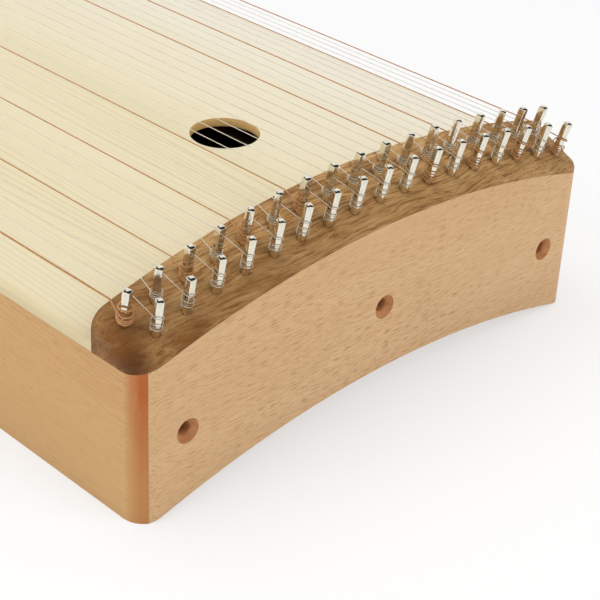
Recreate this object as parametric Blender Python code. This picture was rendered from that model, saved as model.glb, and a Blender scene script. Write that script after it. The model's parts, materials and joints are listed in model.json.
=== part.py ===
"""Body monochord: an arched zither box with 34 strings in unison, laid on the body or a table.

Units are metres and +Z is up. The origin is at the middle of the box, on the surface that it stands on.
X runs across the strings and Y along them, with the tuning pins at the -Y end and the hitch studs at +Y.
"""

import math

import bmesh
import bpy
from mathutils import Matrix, Vector

# Box
BODY_WIDTH = 0.340
BODY_LENGTH = 0.620
EDGE_HEIGHT = 0.0871
CORNER_RADIUS = 0.0138
WALL_THICKNESS = 0.0066
PLATE_THICKNESS = 0.010
PLATE_RISE = 0.0251
BELLY_RISE = 0.0225
BACK_THICKNESS = 0.004
BACK_INSET = 0.0010
CLEARANCE = 0.0003

# Soundboard, and the caps whose ridges carry the strings high above it
BOARD_THICKNESS = 0.0050
BOARD_EDGE_RADIUS = 0.0020
RIDGE_LIFT = 0.0208
CROWN_RISE = 0.0255
SHOULDER_RADIUS = 0.0110
RIDGE_DISTANCE = 0.0358
CAP_FRONT_EDGE = 0.0006
CAP_FRONT_SHOULDER = 0.0005

# Blocks and braces inside the box
BLOCK_LENGTH = 0.040
PIN_BLOCK_DEPTH = 0.062
HITCH_BLOCK_DEPTH = 0.060
BRACE_WIDTH = 0.010
BRACE_DEPTH = 0.012
BRACE_END_GAP = 0.022
BOARD_BRACE_PLACES = (0.170, 0.320, 0.470)
BACK_BRACE_PLACES = (0.215, 0.405)
BACK_BRACE_END_GAP = 0.0084

# Sound hole and the countersunk holes of the end plates
SOUND_HOLE_DISTANCE = 0.128
SOUND_HOLE_RADIUS = 0.0200
SCREW_HOLE_EDGE_GAP = 0.0302
SCREW_HOLE_SIDE_HEIGHT = 0.0461
SCREW_HOLE_MIDDLE_HEIGHT = 0.0616
SCREW_HOLE_RADIUS = 0.0026
COUNTERSINK_RADIUS = 0.0052
SCREW_HOLE_DEPTH = 0.018

# Strings
STRING_COUNT = 34
STRING_OFFSET = 0.0009
WOUND_STRINGS = (0, 4, 8, 12, 21, 25, 29, 33)
LOWEST_STRING = 0
PLAIN_GAUGE = 0.00045
WOUND_GAUGE = 0.0007
LOWEST_GAUGE = 0.0011

# Tuning pins
PIN_MARGIN = 0.0121
PIN_SHIFT = -0.0014
BACK_ROW_DISTANCE = 0.0240
FRONT_ROW_DISTANCE = 0.0125
PIN_RADIUS = 0.0025
PIN_TOP = 0.0229
PIN_BURIED = 0.0250
PIN_TIP = 0.0010
PIN_LEAN = math.radians(14.1)
PIN_FAN = 0.356
FLATS_FOOT = 0.0030
HEAD_HALF = 0.00185
HEAD_CROWN = 0.0008
HEAD_CROWN_HALF = 0.0010
PIN_HOLE_CLEARANCE = 0.00035

# Windings round the pins
BACK_TURNS = 2.5
BACK_WINDING_PITCH = 0.0017
BACK_WINDING_START = 0.0074
FRONT_TURNS = 3.0
FRONT_WINDING_PITCH = 0.0023
FRONT_WINDING_START = 0.0109
PLAIN_WINDING_GAP = 0.0003
WOUND_WINDING_GAP = 0.0005
POINTS_PER_TURN = 8
WIRE_END_RADIUS = 0.00125

# Hitch rail
HITCH_DISTANCE = 0.0150
RAIL_WIDTH = 0.008
RAIL_THICKNESS = 0.0016
RAIL_END_MARGIN = 0.0030
STUD_RADIUS = 0.0011
STUD_HEIGHT = 0.0050
LOOP_HEIGHT = 0.0022
SLOPE_STEP = 0.0003

# Counts of flats and steps
ROUND_SIDES = 8
HOLE_SIDES = 32
CORNER_STEPS = 6
SHOULDER_STEPS = 5
CROWN_STEPS = 16
ARCH_STEPS = 16
CUTTER_REACH = 0.010

HALF_WIDTH = BODY_WIDTH / 2
HALF_LENGTH = BODY_LENGTH / 2
INNER_HALF = HALF_WIDTH - WALL_THICKNESS
BRACE_HALF_SPAN = HALF_WIDTH - BRACE_END_GAP
BACK_BRACE_HALF_SPAN = INNER_HALF - BACK_BRACE_END_GAP
SCREW_HOLE_SPREAD = HALF_WIDTH - SCREW_HOLE_EDGE_GAP
PIN_PITCH = (BODY_WIDTH - 2 * PIN_MARGIN) / (STRING_COUNT - 1)
PIN_END = -1
HITCH_END = 1


def material(name, colour, roughness, metallic=0.0):
    made = bpy.data.materials.new(name)
    made.use_nodes = True
    shader = made.node_tree.nodes["Principled BSDF"]
    shader.inputs["Base Color"].default_value = (*colour, 1.0)
    shader.inputs["Roughness"].default_value = roughness
    shader.inputs["Metallic"].default_value = metallic
    made.diffuse_color = (*colour, 1.0)
    return made


def put_in_scene(name, mesh, finish=None):
    item = bpy.data.objects.new(name, mesh)
    bpy.context.scene.collection.objects.link(item)
    if finish is not None and not mesh.materials:
        mesh.materials.append(finish)
    return item


def mesh_from(name, work):
    bmesh.ops.recalc_face_normals(work, faces=work.faces)
    mesh = bpy.data.meshes.new(name)
    work.to_mesh(mesh)
    work.free()
    return mesh


def add_loft(work, rings):
    """Closed surface through rings of equally many points, capped at both ends."""
    rows = [[work.verts.new(point) for point in ring] for ring in rings]
    count = len(rows[0])
    for lower, upper in zip(rows, rows[1:]):
        for k in range(count):
            after = (k + 1) % count
            work.faces.new((lower[k], lower[after], upper[after], upper[k]))
    work.faces.new(rows[0])
    work.faces.new(rows[-1])


def lofted(name, rings, finish=None):
    work = bmesh.new()
    add_loft(work, rings)
    return put_in_scene(name, mesh_from(name, work), finish)


def prism(name, section, y_from, y_to, finish=None):
    """A section given as (x, z) points, extruded along Y."""
    rings = [[(x, y, z) for x, z in section] for y in (y_from, y_to)]
    return lofted(name, rings, finish)


def as_helper(item):
    item.hide_render = True
    item.display_type = "WIRE"
    return item


def combine(target, other, operation):
    change = target.modifiers.new(f"{operation.lower()}_{other.name}", "BOOLEAN")
    change.operation = operation
    change.solver = "EXACT"
    change.object = other
    as_helper(other)


def settled_mesh(name, item):
    """The item's mesh with its modifiers applied, as a mesh that other objects can share."""
    bpy.context.view_layer.update()
    graph = bpy.context.evaluated_depsgraph_get()
    mesh = bpy.data.meshes.new_from_object(item.evaluated_get(graph), depsgraph=graph)
    mesh.name = name
    return mesh


def place_along(end, distance):
    """The Y of a point at this distance in from an end of the box."""
    return end * (HALF_LENGTH - distance)


def span(first, last, steps):
    return [first + (last - first) * k / steps for k in range(steps + 1)]


def arc_radius(half_chord, rise):
    return (half_chord**2 + rise**2) / (2 * rise)


def arc_height(x, half_chord, edge, rise):
    """Height of the arc that stands on edge at both ends of its chord."""
    radius = arc_radius(half_chord, rise)
    return edge + rise - radius + math.sqrt(radius**2 - x**2)


def seam_height(x):
    """Top of the side walls and end plates, where the caps and the soundboard sit."""
    return arc_height(x, HALF_WIDTH, EDGE_HEIGHT, PLATE_RISE)


def belly_height(x):
    """Underside of the box, hollowed so that it lies on a body."""
    return arc_height(x, INNER_HALF, 0.0, BELLY_RISE)


class Crown:
    """A convex top outline: one wide arc that turns down into the sides through a shoulder."""

    def __init__(self, half, radius, centre, shoulder):
        self.half = half
        self.radius = radius
        self.centre = centre
        self.shoulder = shoulder
        reach = half - shoulder
        self.shoulder_centre = centre + math.sqrt((radius - shoulder) ** 2 - reach**2)
        self.turn = math.atan2(reach, self.shoulder_centre - centre)

    def points(self):
        left = []
        for angle in span(math.pi, math.pi / 2 + self.turn, SHOULDER_STEPS):
            x = self.shoulder - self.half + self.shoulder * math.cos(angle)
            left.append((x, self.shoulder_centre + self.shoulder * math.sin(angle)))
        middle = []
        for angle in span(-self.turn, self.turn, CROWN_STEPS)[1:-1]:
            height = self.centre + self.radius * math.cos(angle)
            middle.append((self.radius * math.sin(angle), height))
        return left + middle + [(-x, z) for x, z in reversed(left)]

    def height(self, x):
        past = abs(x) - (self.half - self.shoulder)
        if abs(x) <= self.radius * math.sin(self.turn):
            return self.centre + math.sqrt(self.radius**2 - x**2)
        return self.shoulder_centre + math.sqrt(max(self.shoulder**2 - past**2, 0.0))


RIDGE_RADIUS = arc_radius(HALF_WIDTH, CROWN_RISE)
RIDGE_TOP = EDGE_HEIGHT + RIDGE_LIFT + CROWN_RISE
RIDGE = Crown(HALF_WIDTH, RIDGE_RADIUS, RIDGE_TOP - RIDGE_RADIUS, SHOULDER_RADIUS)
FRONT_RADIUS = arc_radius(HALF_WIDTH, PLATE_RISE)
FRONT_TOP = EDGE_HEIGHT + PLATE_RISE + CLEARANCE + CAP_FRONT_EDGE
FRONT = Crown(HALF_WIDTH, FRONT_RADIUS, FRONT_TOP - FRONT_RADIUS, CAP_FRONT_SHOULDER)
BOARD_TOP = EDGE_HEIGHT + PLATE_RISE + CLEARANCE + BOARD_THICKNESS
BOARD = Crown(HALF_WIDTH, FRONT_RADIUS, BOARD_TOP - FRONT_RADIUS, BOARD_EDGE_RADIUS)


def cap_height(x, distance):
    """Top of a sloping cap, at a distance in from its end of the box."""
    share = distance / RIDGE_DISTANCE
    return FRONT.height(x) * (1 - share) + RIDGE.height(x) * share


def gauge_of(index):
    if index == LOWEST_STRING:
        return LOWEST_GAUGE
    return WOUND_GAUGE if index in WOUND_STRINGS else PLAIN_GAUGE


def in_front_row(index):
    return index % 2 == 1


def pin_x(index):
    return (index - (STRING_COUNT - 1) / 2) * PIN_PITCH + PIN_SHIFT


def string_x(index):
    return pin_x(index) + STRING_OFFSET


def ridge_point(index, end):
    """Where a string crosses the ridge, lying just above it."""
    x = string_x(index)
    height = RIDGE.height(x) + CLEARANCE + gauge_of(index) / 2
    return Vector((x, place_along(end, RIDGE_DISTANCE), height))


def pin_base(index):
    """Where a pin's axis leaves the cap."""
    x = pin_x(index)
    distance = FRONT_ROW_DISTANCE if in_front_row(index) else BACK_ROW_DISTANCE
    return Vector((x, place_along(PIN_END, distance), cap_height(x, distance)))


def pin_axis(index):
    """A pin leans towards the end plate, and a little outwards with the curve of the cap."""
    slope = -pin_base(index).x / RIDGE.radius
    return Vector((-PIN_FAN * slope, -math.tan(PIN_LEAN), 1.0)).normalized()


def winding_of(index):
    """Radius of the winding's middle line, height of its first point, fall a turn, and turns."""
    gap = WOUND_WINDING_GAP if index in WOUND_STRINGS else PLAIN_WINDING_GAP
    radius = PIN_RADIUS + gap + gauge_of(index) / 2
    if in_front_row(index):
        return radius, FRONT_WINDING_START, FRONT_WINDING_PITCH, FRONT_TURNS
    return radius, BACK_WINDING_START, BACK_WINDING_PITCH, BACK_TURNS


def pin_frame(index):
    """The pin's frame: Z along its axis, with the winding's start at -X, where its string touches."""
    axis = pin_axis(index)
    side = Vector((1.0, 0.0, 0.0))
    side = (side - axis * side.dot(axis)).normalized()
    front = axis.cross(side)
    radius, start, _, _ = winding_of(index)
    to_ridge = ridge_point(index, PIN_END) - (pin_base(index) + axis * start)
    x, y = to_ridge.dot(side), to_ridge.dot(front)
    touch = math.atan2(y, x) + math.acos(radius / math.hypot(x, y))
    turn = Matrix.Rotation(touch - math.pi, 3, axis)
    columns = (turn @ side, turn @ front, axis)
    return Matrix(columns).transposed().to_4x4()


def pin_matrix(index):
    return Matrix.Translation(pin_base(index)) @ pin_frame(index)


def winding_points(index):
    """The wire's middle line in the pin's frame: its turns, then its end, which goes into the pin."""
    radius, start, fall, turns = winding_of(index)
    steps = round(turns * POINTS_PER_TURN)
    points = []
    for k in range(steps + 1):
        angle = math.pi + math.tau * k / POINTS_PER_TURN
        height = start - fall * k / POINTS_PER_TURN
        points.append(Vector((radius * math.cos(angle), radius * math.sin(angle), height)))
    last = points[-1]
    inwards = WIRE_END_RADIUS / radius
    points.append(Vector((last.x * inwards, last.y * inwards, last.z)))
    return points


def least_gap(points, diameter):
    """Smallest free space between one turn of a tube and the next."""
    apart = POINTS_PER_TURN // 2
    pairs = ((a, b) for k, a in enumerate(points) for b in points[k + apart :])
    return min((a - b).length for a, b in pairs) - diameter


def tube(name, points, diameter):
    """A four-sided tube with closed ends along the points, as a mesh."""
    curve = bpy.data.curves.new(name, "CURVE")
    curve.dimensions = "3D"
    curve.bevel_depth = diameter / 2
    curve.bevel_resolution = 0
    curve.use_fill_caps = True
    run = curve.splines.new("POLY")
    run.points.add(len(points) - 1)
    for knot, point in zip(run.points, points):
        knot.co = (*point, 1.0)
    item = bpy.data.objects.new(name, curve)
    bpy.context.scene.collection.objects.link(item)
    mesh = settled_mesh(name, item)
    bpy.data.objects.remove(item)
    bpy.data.curves.remove(curve)
    return mesh


def joined_meshes(name, meshes):
    """Several closed meshes in one, which a Boolean takes as one operand."""
    work = bmesh.new()
    for mesh in meshes:
        work.from_mesh(mesh)
    return mesh_from(name, work)


def ring(radius, height):
    turn = math.tau / ROUND_SIDES
    angles = [turn * (k + 0.5) for k in range(ROUND_SIDES)]
    return [Vector((radius * math.cos(a), radius * math.sin(a), height)) for a in angles]


def flats_ring(half, height, rod):
    """Four flats cut on a round rod, as many points as a round ring. Their corners keep the rod's radius."""
    near = math.sqrt(rod**2 - half**2)
    corners = ((half, near), (near, half), (-near, half), (-half, near))
    points = list(corners) + [(-x, -y) for x, y in corners]
    return [Vector((x, y, height)) for x, y in points]


def bare_pin(name, finish):
    rings = [
        ring(PIN_RADIUS - PIN_TIP, -PIN_BURIED),
        ring(PIN_RADIUS, PIN_TIP - PIN_BURIED),
        ring(PIN_RADIUS, FLATS_FOOT),
        flats_ring(HEAD_HALF, PIN_TOP - HEAD_CROWN, PIN_RADIUS),
        flats_ring(HEAD_CROWN_HALF, PIN_TOP, PIN_RADIUS * HEAD_CROWN_HALF / HEAD_HALF),
    ]
    return lofted(name, rings, finish)


def pin_with_winding(index, steel, wire):
    """One tuning pin and the wire wound round it, as a mesh that all pins of its kind share."""
    name = f"pin_and_winding_{index}"
    points = winding_points(index)
    gap = least_gap(points, gauge_of(index))
    print(f"winding of string {index}: least gap {gap * 1000:.2f} mm")
    pin = bare_pin(name, steel)
    coil = put_in_scene(f"{name}_coil", tube(f"{name}_coil", points, gauge_of(index)), wire)
    combine(pin, coil, "UNION")
    mesh = settled_mesh(name, pin)
    bpy.data.objects.remove(pin)
    bpy.data.objects.remove(coil)
    return mesh


def make_pins(steel, plain_wire, wound_wire):
    """The pins share a mesh for each gauge and row."""
    meshes = {}
    for index in range(STRING_COUNT):
        kind = (gauge_of(index), in_front_row(index))
        if kind not in meshes:
            wire = wound_wire if index in WOUND_STRINGS else plain_wire
            meshes[kind] = pin_with_winding(index, steel, wire)
        pin = put_in_scene(f"tuning_pin_{index + 1:02d}", meshes[kind])
        pin.matrix_world = pin_matrix(index)


def pin_holes(radius, depth):
    """Cutters for all pin holes, as one mesh."""
    work = bmesh.new()
    for index in range(STRING_COUNT):
        place = pin_matrix(index)
        add_loft(work, [[place @ p for p in ring(radius, z)] for z in (-depth, CUTTER_REACH)])
    return put_in_scene("pin_holes", mesh_from("pin_holes", work))


def corner_outline():
    """A tall prism over the plan of the box, with rounded corners, that trims walls, plates and caps."""
    plan = []
    for quarter in range(4):
        across = 1 if quarter in (0, 3) else -1
        along = 1 if quarter in (0, 1) else -1
        centre_x = across * (HALF_WIDTH - CORNER_RADIUS)
        centre_y = along * (HALF_LENGTH - CORNER_RADIUS)
        for angle in span(quarter * math.pi / 2, (quarter + 1) * math.pi / 2, CORNER_STEPS):
            x = centre_x + CORNER_RADIUS * math.cos(angle)
            plan.append((x, centre_y + CORNER_RADIUS * math.sin(angle)))
    top = RIDGE_TOP + CUTTER_REACH
    rings = [[(x, y, z) for x, y in plan] for z in (-CUTTER_REACH, top)]
    return as_helper(lofted("corner_outline", rings))


def between(lower, upper, half, steps):
    """Section between two curves of x, from -half to half."""
    places = span(-half, half, steps)
    return [(x, lower(x)) for x in places] + [(x, upper(x)) for x in reversed(places)]


def make_walls(outline, finish):
    for name, side in (("side_wall_left", -1), ("side_wall_right", 1)):
        section = [
            (side * HALF_WIDTH, 0.0),
            (side * INNER_HALF, 0.0),
            (side * INNER_HALF, seam_height(INNER_HALF)),
            (side * HALF_WIDTH, seam_height(HALF_WIDTH)),
        ]
        wall = prism(name, section, -HALF_LENGTH, HALF_LENGTH, finish)
        combine(wall, outline, "INTERSECT")


def screw_holes(end):
    """Cutters for the three countersunk holes of an end plate, as one mesh."""
    heights = (SCREW_HOLE_SIDE_HEIGHT, SCREW_HOLE_MIDDLE_HEIGHT, SCREW_HOLE_SIDE_HEIGHT)
    profile = (
        (COUNTERSINK_RADIUS + CUTTER_REACH, -CUTTER_REACH),
        (SCREW_HOLE_RADIUS, COUNTERSINK_RADIUS - SCREW_HOLE_RADIUS),
        (SCREW_HOLE_RADIUS, SCREW_HOLE_DEPTH),
    )
    work = bmesh.new()
    for place, z in zip((-1, 0, 1), heights):
        rings = []
        for radius, depth in profile:
            y = place_along(end, depth)
            circle = ring(radius, 0.0)
            rings.append([(place * SCREW_HOLE_SPREAD + p.x, y, z + p.y) for p in circle])
        add_loft(work, rings)
    name = "pin_end_screw_holes" if end == PIN_END else "hitch_end_screw_holes"
    return put_in_scene(name, mesh_from(name, work))


def make_end_plate(name, end, outline, holes, finish):
    half = INNER_HALF - CLEARANCE
    section = between(belly_height, seam_height, half, ARCH_STEPS)
    outer, inner = end * HALF_LENGTH, place_along(end, PLATE_THICKNESS)
    plate = prism(name, section, outer, inner, finish)
    combine(plate, outline, "INTERSECT")
    combine(plate, holes, "DIFFERENCE")


def make_block(name, end, depth, holes, finish):
    """A hardwood block behind the end plate, under the cap and the end of the soundboard."""

    def bottom(x):
        return seam_height(x) - depth

    def top(x):
        return seam_height(x) - CLEARANCE

    section = between(bottom, top, INNER_HALF - CLEARANCE, ARCH_STEPS)
    first = place_along(end, PLATE_THICKNESS + CLEARANCE)
    last = place_along(end, PLATE_THICKNESS + CLEARANCE + BLOCK_LENGTH)
    block = prism(name, section, first, last, finish)
    for hole in holes:
        combine(block, hole, "DIFFERENCE")


def cap_section(crown, front):
    """Outline of a cap: up one side, over the crown and back along the seam."""
    rest = seam_height(HALF_WIDTH) + CLEARANCE
    top = [(-HALF_WIDTH, rest)] + crown.points() + [(HALF_WIDTH, rest)]
    places = span(HALF_WIDTH, -HALF_WIDTH, ARCH_STEPS)[1:-1]
    under = [(x, seam_height(x) + CLEARANCE) for x in places]
    return [(x, front, z) for x, z in top + under]


def make_cap(name, end, outline, finish):
    """The walnut cap: thin as a veneer at the end plate, and rising to the ridge that carries the strings."""
    rings = [
        cap_section(FRONT, end * HALF_LENGTH),
        cap_section(RIDGE, place_along(end, RIDGE_DISTANCE)),
    ]
    cap = lofted(name, rings, finish)
    combine(cap, outline, "INTERSECT")
    return cap


def make_soundboard(finish):
    places = span(HALF_WIDTH, -HALF_WIDTH, ARCH_STEPS)
    under = [(x, seam_height(x) + CLEARANCE) for x in places]
    gap = RIDGE_DISTANCE + CLEARANCE
    first, last = place_along(PIN_END, gap), place_along(HITCH_END, gap)
    board = prism("soundboard", BOARD.points() + under, first, last, finish)
    centre = Vector((0.0, place_along(PIN_END, SOUND_HOLE_DISTANCE), 0.0))
    rings = []
    for z in (BOARD_TOP - BOARD_THICKNESS - CUTTER_REACH, BOARD_TOP + CUTTER_REACH):
        turns = [math.tau * k / HOLE_SIDES for k in range(HOLE_SIDES)]
        circle = [Vector((math.cos(a), math.sin(a), 0.0)) * SOUND_HOLE_RADIUS for a in turns]
        rings.append([centre + p + Vector((0.0, 0.0, z)) for p in circle])
    combine(board, lofted("sound_hole_cutter", rings), "DIFFERENCE")


def make_back_board(finish):
    def lower(x):
        return belly_height(x) + BACK_INSET

    def upper(x):
        return lower(x) + BACK_THICKNESS

    section = between(lower, upper, INNER_HALF - CLEARANCE, ARCH_STEPS)
    gap = PLATE_THICKNESS + CLEARANCE
    prism("back_board", section, place_along(PIN_END, gap), place_along(HITCH_END, gap), finish)


def make_braces(finish):
    def board_brace_foot(x):
        return seam_height(x) - BRACE_DEPTH

    def back_brace_foot(x):
        return belly_height(x) + BACK_INSET + BACK_THICKNESS + CLEARANCE

    def back_brace_top(x):
        return back_brace_foot(x) + BRACE_DEPTH

    for count, distance in enumerate(BOARD_BRACE_PLACES, start=1):
        y = place_along(PIN_END, distance)
        section = between(board_brace_foot, seam_height, BRACE_HALF_SPAN, ARCH_STEPS)
        prism(f"soundboard_brace_{count}", section, y, y + BRACE_WIDTH, finish)
    for count, distance in enumerate(BACK_BRACE_PLACES, start=1):
        y = place_along(PIN_END, distance)
        section = between(back_brace_foot, back_brace_top, BACK_BRACE_HALF_SPAN, ARCH_STEPS)
        prism(f"back_brace_{count}", section, y, y + BRACE_WIDTH, finish)


def hitch_frame(x):
    """Point of the hitch cap's top under the rail at x, the normal there, and the way down the slope."""
    step = SLOPE_STEP
    here = cap_height(x, HITCH_DISTANCE)
    along = (cap_height(x, HITCH_DISTANCE + step) - here) / step
    rise = cap_height(x + step, HITCH_DISTANCE) - cap_height(x - step, HITCH_DISTANCE)
    across = rise / (2 * step)
    normal = Vector((-across, along, 1.0)).normalized()
    down = Vector((0.0, 1.0, -along)).normalized()
    return Vector((x, place_along(HITCH_END, HITCH_DISTANCE), here)), normal, down


def stud_point(index, height):
    """A point on a hitch stud's axis, at a height above the rail."""
    base, normal, _ = hitch_frame(string_x(index))
    return base + normal * (CLEARANCE + RAIL_THICKNESS + height)


def winding_reach(index):
    """How far before its pin a string has to stop, to stay clear of the winding while the pin turns."""
    radius, _, _, _ = winding_of(index)
    swept = radius + gauge_of(index) + CLEARANCE
    return math.sqrt(swept**2 - radius**2)


def string_points(index, hitch_gap):
    """A string's straight runs: from its pin over both ridges to its hitch stud."""
    radius, start, _, _ = winding_of(index)
    touch = pin_matrix(index) @ Vector((-radius, 0.0, start))
    near = ridge_point(index, PIN_END)
    far = ridge_point(index, HITCH_END)
    stud = stud_point(index, LOOP_HEIGHT)
    pin_run = (near - touch).normalized()
    stud_run = (far - stud).normalized()
    return [touch + pin_run * winding_reach(index), near, far, stud + stud_run * hitch_gap]


def make_strings(wound_wire, rail_finish, plain_wire):
    """Wound strings are nodes of their own. The plain ones are joined to the rail that holds all of them."""
    plain = []
    for index in range(STRING_COUNT):
        if index in WOUND_STRINGS:
            name = f"wound_string_{index + 1:02d}"
            points = string_points(index, STUD_RADIUS + CLEARANCE)
            put_in_scene(name, tube(name, points, gauge_of(index)), wound_wire)
        else:
            plain.append(tube(f"plain_{index}", string_points(index, 0.0), gauge_of(index)))
    rings = []
    rail_half = PIN_PITCH * (STRING_COUNT - 1) / 2 + RAIL_END_MARGIN
    for x in span(-rail_half, rail_half, ARCH_STEPS):
        base, normal, down = hitch_frame(x)
        foot = base + normal * CLEARANCE
        half = down * RAIL_WIDTH / 2
        top = normal * RAIL_THICKNESS
        rings.append([foot - half, foot + half, foot + half + top, foot - half + top])
    rail = lofted("hitch_rail_and_plain_strings", rings, rail_finish)
    work = bmesh.new()
    for index in range(STRING_COUNT):
        _, normal, down = hitch_frame(string_x(index))
        side = normal.cross(down).normalized()
        circle = [side * p.x + side.cross(normal) * p.y for p in ring(STUD_RADIUS, 0.0)]
        ends = (stud_point(index, -RAIL_THICKNESS / 2), stud_point(index, STUD_HEIGHT))
        add_loft(work, [[end + p for p in circle] for end in ends])
    combine(rail, put_in_scene("studs", mesh_from("studs", work)), "UNION")
    wires = put_in_scene("plain_wires", joined_meshes("plain_wires", plain), plain_wire)
    combine(rail, wires, "UNION")


def main():
    for item in list(bpy.data.objects):
        bpy.data.objects.remove(item)
    beech = material("beech", (0.67, 0.42, 0.22), 0.45)
    beech_side = material("beech_side", (0.62, 0.32, 0.13), 0.45)
    spruce = material("spruce", (0.83, 0.76, 0.52), 0.5)
    walnut = material("walnut", (0.30, 0.17, 0.08), 0.4)
    block_wood = material("block_maple", (0.60, 0.45, 0.28), 0.6)
    brace_wood = material("brace_spruce", (0.75, 0.62, 0.38), 0.6)
    nickel = material("nickel", (0.80, 0.79, 0.76), 0.15, 1.0)
    steel = material("string_steel", (0.72, 0.72, 0.70), 0.25, 1.0)
    copper = material("copper_winding", (0.72, 0.38, 0.20), 0.35, 1.0)
    brass = material("brass", (0.80, 0.62, 0.30), 0.3, 1.0)

    outline = corner_outline()
    make_walls(outline, beech_side)
    pin_end_holes = screw_holes(PIN_END)
    hitch_end_holes = screw_holes(HITCH_END)
    holes = pin_holes(PIN_RADIUS + PIN_HOLE_CLEARANCE, PIN_BURIED + PIN_HOLE_CLEARANCE)
    make_end_plate("pin_end_plate", PIN_END, outline, pin_end_holes, beech)
    make_end_plate("hitch_end_plate", HITCH_END, outline, hitch_end_holes, beech)
    make_block("pin_block", PIN_END, PIN_BLOCK_DEPTH, (holes, pin_end_holes), block_wood)
    make_block("hitch_block", HITCH_END, HITCH_BLOCK_DEPTH, (hitch_end_holes,), block_wood)
    pin_cap = make_cap("pin_cap", PIN_END, outline, walnut)
    combine(pin_cap, holes, "DIFFERENCE")
    make_cap("hitch_cap", HITCH_END, outline, walnut)
    make_soundboard(spruce)
    make_back_board(beech_side)
    make_braces(brace_wood)
    make_pins(nickel, steel, copper)
    make_strings(copper, brass, steel)


main()
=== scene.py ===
# %% [markdown]
# # A body monochord, piece by piece
# The real instrument is a flat wooden box that somebody lays on a table or on a person's back. Its top and its
# underside are arched, and 34 strings tuned to nearly the same note run over it. This lesson starts from the
# measured model, keeps every size in it, and gives each piece its finer form and its finish.

import json
import math

import bmesh
import bpy
from mathutils import Matrix, Vector, noise


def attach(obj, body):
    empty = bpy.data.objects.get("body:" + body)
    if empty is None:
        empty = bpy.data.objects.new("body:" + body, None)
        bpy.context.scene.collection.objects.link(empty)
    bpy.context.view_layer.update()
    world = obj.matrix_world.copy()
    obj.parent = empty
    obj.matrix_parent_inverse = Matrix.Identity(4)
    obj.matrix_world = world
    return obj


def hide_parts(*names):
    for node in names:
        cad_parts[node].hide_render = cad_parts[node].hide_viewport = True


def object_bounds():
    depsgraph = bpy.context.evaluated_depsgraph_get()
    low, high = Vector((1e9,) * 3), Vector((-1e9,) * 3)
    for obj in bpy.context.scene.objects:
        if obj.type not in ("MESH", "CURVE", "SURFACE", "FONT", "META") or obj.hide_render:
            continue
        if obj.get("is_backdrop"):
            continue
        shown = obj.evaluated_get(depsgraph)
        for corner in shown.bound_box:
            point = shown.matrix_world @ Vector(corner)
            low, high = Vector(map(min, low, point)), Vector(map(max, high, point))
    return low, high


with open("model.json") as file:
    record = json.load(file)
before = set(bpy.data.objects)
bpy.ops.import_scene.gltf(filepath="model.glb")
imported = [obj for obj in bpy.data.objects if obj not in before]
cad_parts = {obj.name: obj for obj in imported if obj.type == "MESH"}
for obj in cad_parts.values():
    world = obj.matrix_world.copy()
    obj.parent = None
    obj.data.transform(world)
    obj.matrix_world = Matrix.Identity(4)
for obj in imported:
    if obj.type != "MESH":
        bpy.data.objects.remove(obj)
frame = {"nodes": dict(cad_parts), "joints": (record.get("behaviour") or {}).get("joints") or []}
measured_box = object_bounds()

# %% [markdown]
# ## The camera
# The place of a camera can be worked out from the edges of a box in a photograph. Here the near corner, the arch of
# the end plate and the row of pins gave the place and the tilt. A long lens from 0.9 m keeps the box nearly
# parallel, as product pictures do. The matrix holds the camera's right, up and backward directions.

# %% Place the camera
CAMERA_PLACE = Vector((-0.583459, -0.806204, 0.521128))
CAMERA_RIGHT = Vector((0.709577, -0.703316, 0.042988))
CAMERA_UP = Vector((0.335816, 0.391178, 0.856857))
CAMERA_BACK = Vector((-0.619458, -0.593571, 0.513755))

lens = bpy.data.cameras.new("camera")
lens.lens = 100.07
lens.sensor_width = 36.0
lens.clip_start = 0.05
lens.clip_end = 50.0
camera = bpy.data.objects.new("camera", lens)
bpy.context.scene.collection.objects.link(camera)
turn = Matrix((CAMERA_RIGHT, CAMERA_UP, CAMERA_BACK)).transposed().to_4x4()
camera.matrix_world = Matrix.Translation(CAMERA_PLACE) @ turn
bpy.context.scene.camera = camera

# %% [markdown]
# ## Finishes from nodes
# Every finish here is a small graph of nodes. Two helpers keep the graphs short: one starts a finish, and one adds
# a node and fills its inputs, with a link where the value is another node's output.


# %% Helpers for finishes
def start_finish(name, roughness, metallic=0.0, specular=0.5):
    finish = bpy.data.materials.new(name)
    finish.use_nodes = True
    tree = finish.node_tree
    shader = tree.nodes["Principled BSDF"]
    shader.inputs["Roughness"].default_value = roughness
    shader.inputs["Metallic"].default_value = metallic
    shader.inputs["Specular IOR Level"].default_value = specular
    return finish, tree, shader


def add_node(tree, kind, inputs=None, **settings):
    node = tree.nodes.new("ShaderNode" + kind)
    for key, value in settings.items():
        setattr(node, key, value)
    for key, value in (inputs or {}).items():
        if isinstance(value, bpy.types.NodeSocket):
            tree.links.new(value, node.inputs[key])
        else:
            node.inputs[key].default_value = value
    return node


def maths(tree, operation, *values):
    return add_node(tree, "Math", dict(enumerate(values)), operation=operation).outputs[0]


def noise_of(tree, place, scale, detail=2.0, roughness=0.5):
    inputs = {"Vector": place, "Scale": scale, "Detail": detail, "Roughness": roughness}
    return add_node(tree, "TexNoise", inputs).outputs["Fac"]


def ramp(tree, value, stops):
    """Colours or greys between stops, given as (place, (red, green, blue))."""
    node = add_node(tree, "ValToRGB", {"Fac": value})
    marks = node.color_ramp.elements
    while len(marks) < len(stops):
        marks.new(0.5)
    for mark, (place, colour) in zip(marks, stops):
        mark.position = place
        mark.color = (*colour, 1.0)
    return node.outputs["Color"]


def grey_ramp(tree, value, low, high, dark=0.0, bright=1.0):
    """Goes from dark to bright while the value goes from low to high, and stays level outside."""
    inputs = {"Value": value, "From Min": low, "From Max": high, "To Min": dark, "To Max": bright}
    return add_node(tree, "MapRange", inputs).outputs["Result"]


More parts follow.
